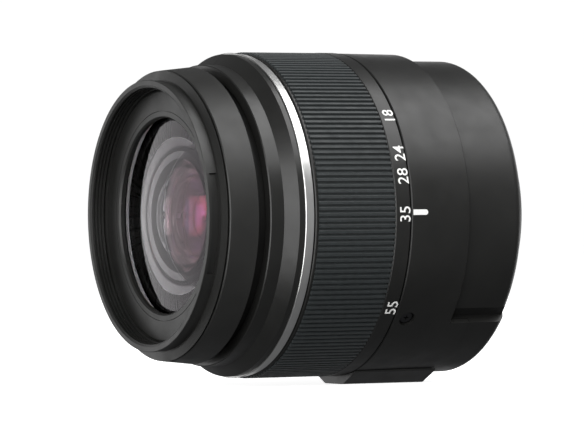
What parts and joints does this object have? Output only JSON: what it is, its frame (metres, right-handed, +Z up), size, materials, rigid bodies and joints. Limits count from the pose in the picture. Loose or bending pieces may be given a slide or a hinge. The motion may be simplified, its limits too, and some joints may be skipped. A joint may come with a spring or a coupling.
{
  "type": "camera zoom lens",
  "caption": "Compact autofocus zoom lens with ribbed zoom grip, focus ring, filter thread and bayonet camera mount.",
  "frame": {"origin": "centre of the camera-mount seat, on the optical axis", "axes": "optical axis along Y with the front of the lens towards -Y and the camera towards +Y, +Z up"},
  "size_m": [0.0694, 0.0785, 0.0711],
  "materials": {
    "mount_ring": "fine satin black",
    "mount_screws": "plain",
    "guide_barrel": "matte black",
    "cam_clip": "spring steel",
    "cam_barrel": "matte black",
    "fixed_sleeve": "matte black",
    "rear_cover": "fine satin black",
    "fixed_barrel": "fine satin black",
    "barrel_screws": "blackened",
    "switch_panel": "satin black",
    "focus_switch": "ribbed black",
    "zoom_ring": "satin black, printed numerals",
    "zoom_keys": "plain",
    "grip_rubber": "ribbed",
    "front_shroud": "satin black",
    "silver_ring": "satin silver",
    "front_barrel": "matte black",
    "front_followers": "plain",
    "focus_ring": "satin black",
    "focus_cam_ring": "black acetal",
    "focus_keys": "plain",
    "idler_gear": "white acetal",
    "focus_motor": "drawn can",
    "motor_pinion": "cut",
    "filter_ring": "satin black",
    "name_ring": "matte black",
    "front_cell": "matte black",
    "cell_pins": "plain",
    "element_retainer": "matte black",
    "rear_group_frame": "matte black",
    "rear_followers": "plain",
    "iris_base": "matte black",
    "iris_cover": "blackened",
    "iris_ring": "blackened",
    "aperture_lever": "stamped",
    "rear_baffle": "matte black",
    "contact_block": "matte black",
    "contact_pins": "gold plated",
    "circuit_board": "green laminate",
    "board_chips": "moulded",
    "lens_1": "coated",
    "lens_2": "coated",
    "lens_3": "coated",
    "lens_4": "coated",
    "lens_5": "coated",
    "lens_6": "coated",
    "lens_7": "coated",
    "lens_8": "coated",
    "lens_9": "coated",
    "lens_10": "coated",
    "lens_11": "coated",
    "blade_1": "blackened",
    "blade_2": "blackened",
    "blade_3": "blackened",
    "blade_4": "blackened",
    "blade_5": "blackened",
    "blade_6": "blackened",
    "blade_7": "blackened"
  },
  "bodies": {
    "body": {"mount_ring": "mount_ring", "mount_screws": "mount_screws", "guide_barrel": "guide_barrel", "cam_clip": "cam_clip", "fixed_sleeve": "fixed_sleeve", "rear_cover": "rear_cover", "fixed_barrel": "fixed_barrel", "barrel_screws": "barrel_screws", "switch_panel": "switch_panel", "front_shroud": "front_shroud", "silver_ring": "silver_ring", "rear_baffle": "rear_baffle", "contact_block": "contact_block", "contact_pins": "contact_pins", "circuit_board": "circuit_board", "board_chips": "board_chips"},
    "switch": {"focus_switch": "focus_switch"},
    "zoom": {"zoom_ring": "zoom_ring", "zoom_keys": "zoom_keys", "grip_rubber": "grip_rubber", "cam_barrel": "cam_barrel"},
    "front": {"front_barrel": "front_barrel", "front_followers": "front_followers", "filter_ring": "filter_ring", "name_ring": "name_ring", "focus_motor": "focus_motor"},
    "focus": {"focus_ring": "focus_ring", "focus_cam_ring": "focus_cam_ring", "focus_keys": "focus_keys"},
    "idler": {"idler_gear": "idler_gear"},
    "pinion": {"motor_pinion": "motor_pinion"},
    "front_group": {"front_cell": "front_cell", "cell_pins": "cell_pins", "element_retainer": "element_retainer", "lens_1": "lens_1", "lens_2": "lens_2", "lens_3": "lens_3", "lens_4": "lens_4"},
    "rear_group": {"rear_group_frame": "rear_group_frame", "rear_followers": "rear_followers", "iris_base": "iris_base", "iris_cover": "iris_cover", "lens_5": "lens_5", "lens_6": "lens_6", "lens_7": "lens_7", "lens_8": "lens_8", "lens_9": "lens_9", "lens_10": "lens_10", "lens_11": "lens_11"},
    "iris": {"iris_ring": "iris_ring"},
    "lever": {"aperture_lever": "aperture_lever"},
    "blade1": {"blade_1": "blade_1"},
    "blade2": {"blade_2": "blade_2"},
    "blade3": {"blade_3": "blade_3"},
    "blade4": {"blade_4": "blade_4"},
    "blade5": {"blade_5": "blade_5"},
    "blade6": {"blade_6": "blade_6"},
    "blade7": {"blade_7": "blade_7"}
  },
  "joints": [
    {"name": "zoom_turn", "type": "hinge", "parent": "body", "child": "zoom", "pos_m": [0, 0, 0], "axis": [0, -1, 0], "range_deg": [-36.7, 34.5]},
    {"name": "front_slide", "type": "slide", "parent": "body", "child": "front", "axis": [0, -1, 0], "range_m": [-0.00204, 0.00192]},
    {"name": "rear_slide", "type": "slide", "parent": "body", "child": "rear_group", "axis": [0, -1, 0], "range_m": [-0.0077, 0.00722]},
    {"name": "focus_turn", "type": "hinge", "parent": "front", "child": "focus", "pos_m": [0, 0, 0], "axis": [0, -1, 0], "range_deg": [-75, 0]},
    {"name": "front_group_slide", "type": "slide", "parent": "front", "child": "front_group", "axis": [0, -1, 0], "range_m": [-0.00238, 0]},
    {"name": "idler_spin", "type": "hinge", "parent": "front", "child": "idler", "pos_m": [-0.008, -0.0573, -0.02199], "axis": [0, -1, 0], "range_deg": [-640, 0]},
    {"name": "pinion_spin", "type": "hinge", "parent": "front", "child": "pinion", "pos_m": [-0.00359, -0.0573, -0.02069], "axis": [0, -1, 0], "range_deg": [0, 1460]},
    {"name": "aperture_turn", "type": "hinge", "parent": "body", "child": "lever", "pos_m": [0, 0, 0], "axis": [0, -1, 0], "range_deg": [0, 13], "stiffness_Nm_per_rad": 0.02, "springref_deg": -22.92},
    {"name": "iris_turn", "type": "hinge", "parent": "rear_group", "child": "iris", "pos_m": [0, 0, 0], "axis": [0, -1, 0], "range_deg": [0, 13.2]},
    {"name": "switch_slide", "type": "slide", "parent": "body", "child": "switch", "axis": [0, 1, 0], "range_m": [0, 0.0035]},
    {"name": "blade_1_swing", "type": "hinge", "parent": "rear_group", "child": "blade1", "pos_m": [0.0139, -0.044, 0], "axis": [0, -1, 0], "range_deg": [-28.7, 0]},
    {"name": "blade_2_swing", "type": "hinge", "parent": "rear_group", "child": "blade2", "pos_m": [0.00867, -0.044, 0.01087], "axis": [0, -1, 0], "range_deg": [-28.7, 0]},
    {"name": "blade_3_swing", "type": "hinge", "parent": "rear_group", "child": "blade3", "pos_m": [-0.00309, -0.044, 0.01355], "axis": [0, -1, 0], "range_deg": [-28.7, 0]},
    {"name": "blade_4_swing", "type": "hinge", "parent": "rear_group", "child": "blade4", "pos_m": [-0.01252, -0.044, 0.00603], "axis": [0, -1, 0], "range_deg": [-28.7, 0]},
    {"name": "blade_5_swing", "type": "hinge", "parent": "rear_group", "child": "blade5", "pos_m": [-0.01252, -0.044, -0.00603], "axis": [0, -1, 0], "range_deg": [-28.7, 0]},
    {"name": "blade_6_swing", "type": "hinge", "parent": "rear_group", "child": "blade6", "pos_m": [-0.00309, -0.044, -0.01355], "axis": [0, -1, 0], "range_deg": [-28.7, 0]},
    {"name": "blade_7_swing", "type": "hinge", "parent": "rear_group", "child": "blade7", "pos_m": [0.00867, -0.044, -0.01087], "axis": [0, -1, 0], "range_deg": [-28.7, 0]}
  ],
  "couplings": [
    {"joint": "front_slide", "follows": "zoom_turn", "m_per_rad": 0.003094},
    {"joint": "rear_slide", "follows": "zoom_turn", "m_per_rad": 0.01186},
    {"joint": "front_group_slide", "follows": "focus_turn", "m_per_rad": 0.0017571},
    {"joint": "idler_spin", "follows": "focus_turn", "ratio": 8.3125},
    {"joint": "pinion_spin", "follows": "focus_turn", "ratio": -19},
    {"joint": "iris_turn", "follows": "aperture_turn", "ratio": 1},
    {"joint": "blade_1_swing", "follows": "aperture_turn", "ratio": -2.1769},
    {"joint": "blade_2_swing", "follows": "aperture_turn", "ratio": -2.1769},
    {"joint": "blade_3_swing", "follows": "aperture_turn", "ratio": -2.1769},
    {"joint": "blade_4_swing", "follows": "aperture_turn", "ratio": -2.1769},
    {"joint": "blade_5_swing", "follows": "aperture_turn", "ratio": -2.1769},
    {"joint": "blade_6_swing", "follows": "aperture_turn", "ratio": -2.1769},
    {"joint": "blade_7_swing", "follows": "aperture_turn", "ratio": -2.1769}
  ]
}
